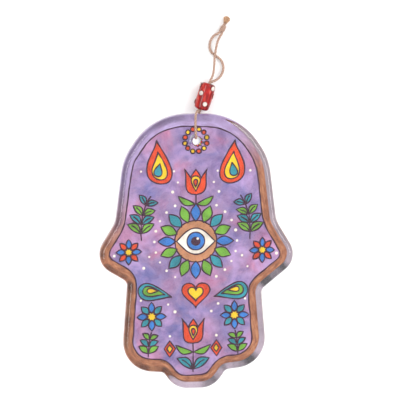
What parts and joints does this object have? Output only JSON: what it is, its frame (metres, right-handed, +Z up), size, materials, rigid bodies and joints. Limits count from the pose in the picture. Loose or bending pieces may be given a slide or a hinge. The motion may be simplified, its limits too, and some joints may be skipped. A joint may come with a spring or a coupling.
{
  "type": "hamsa hand ornament",
  "caption": "Thick clear glass hamsa hand, painted on its back, on a knotted cord that runs through a hole in its dome and a dotted glass bead.",
  "frame": {"origin": "on the surface that it lies on, under the middle of the hand", "axes": "+X right as the painted front is seen, +Y towards the dome and the cord, +Z up, out of the glass front"},
  "size_m": [0.1124, 0.2164, 0.0122],
  "materials": {
    "clear_glass": "polished",
    "border_paint": "gloss",
    "field_paint": "gloss",
    "cuff_paint": "gloss",
    "cord": "waxed",
    "bead_glass": "polished",
    "dot_glass": "polished"
  },
  "bodies": {
    "hand": {"glass_hand": "clear_glass", "border_coat": "border_paint", "field_coat": "field_paint", "cuff_coat": "cuff_paint"},
    "cord": {"front_lead": "cord", "back_lead": "cord", "straight_strand": "cord", "wavy_strand": "cord", "knot": "cord", "cut_tails": "cord"},
    "bead": {"bead": "bead_glass", "bead_dots": "dot_glass"}
  },
  "joints": [
    {"name": "cord_swing", "type": "hinge", "parent": "hand", "child": "cord", "pos_m": [0, 0.06469, 0.0017], "axis": [0, -0.012, 0.9999], "range_deg": [-6, 18]},
    {"name": "bead_slide", "type": "slide", "parent": "cord", "child": "bead", "axis": [0.3007, 0.9537, 0], "range_m": [0, 0.024], "deforming": ["straight_strand", "wavy_strand"]}
  ]
}
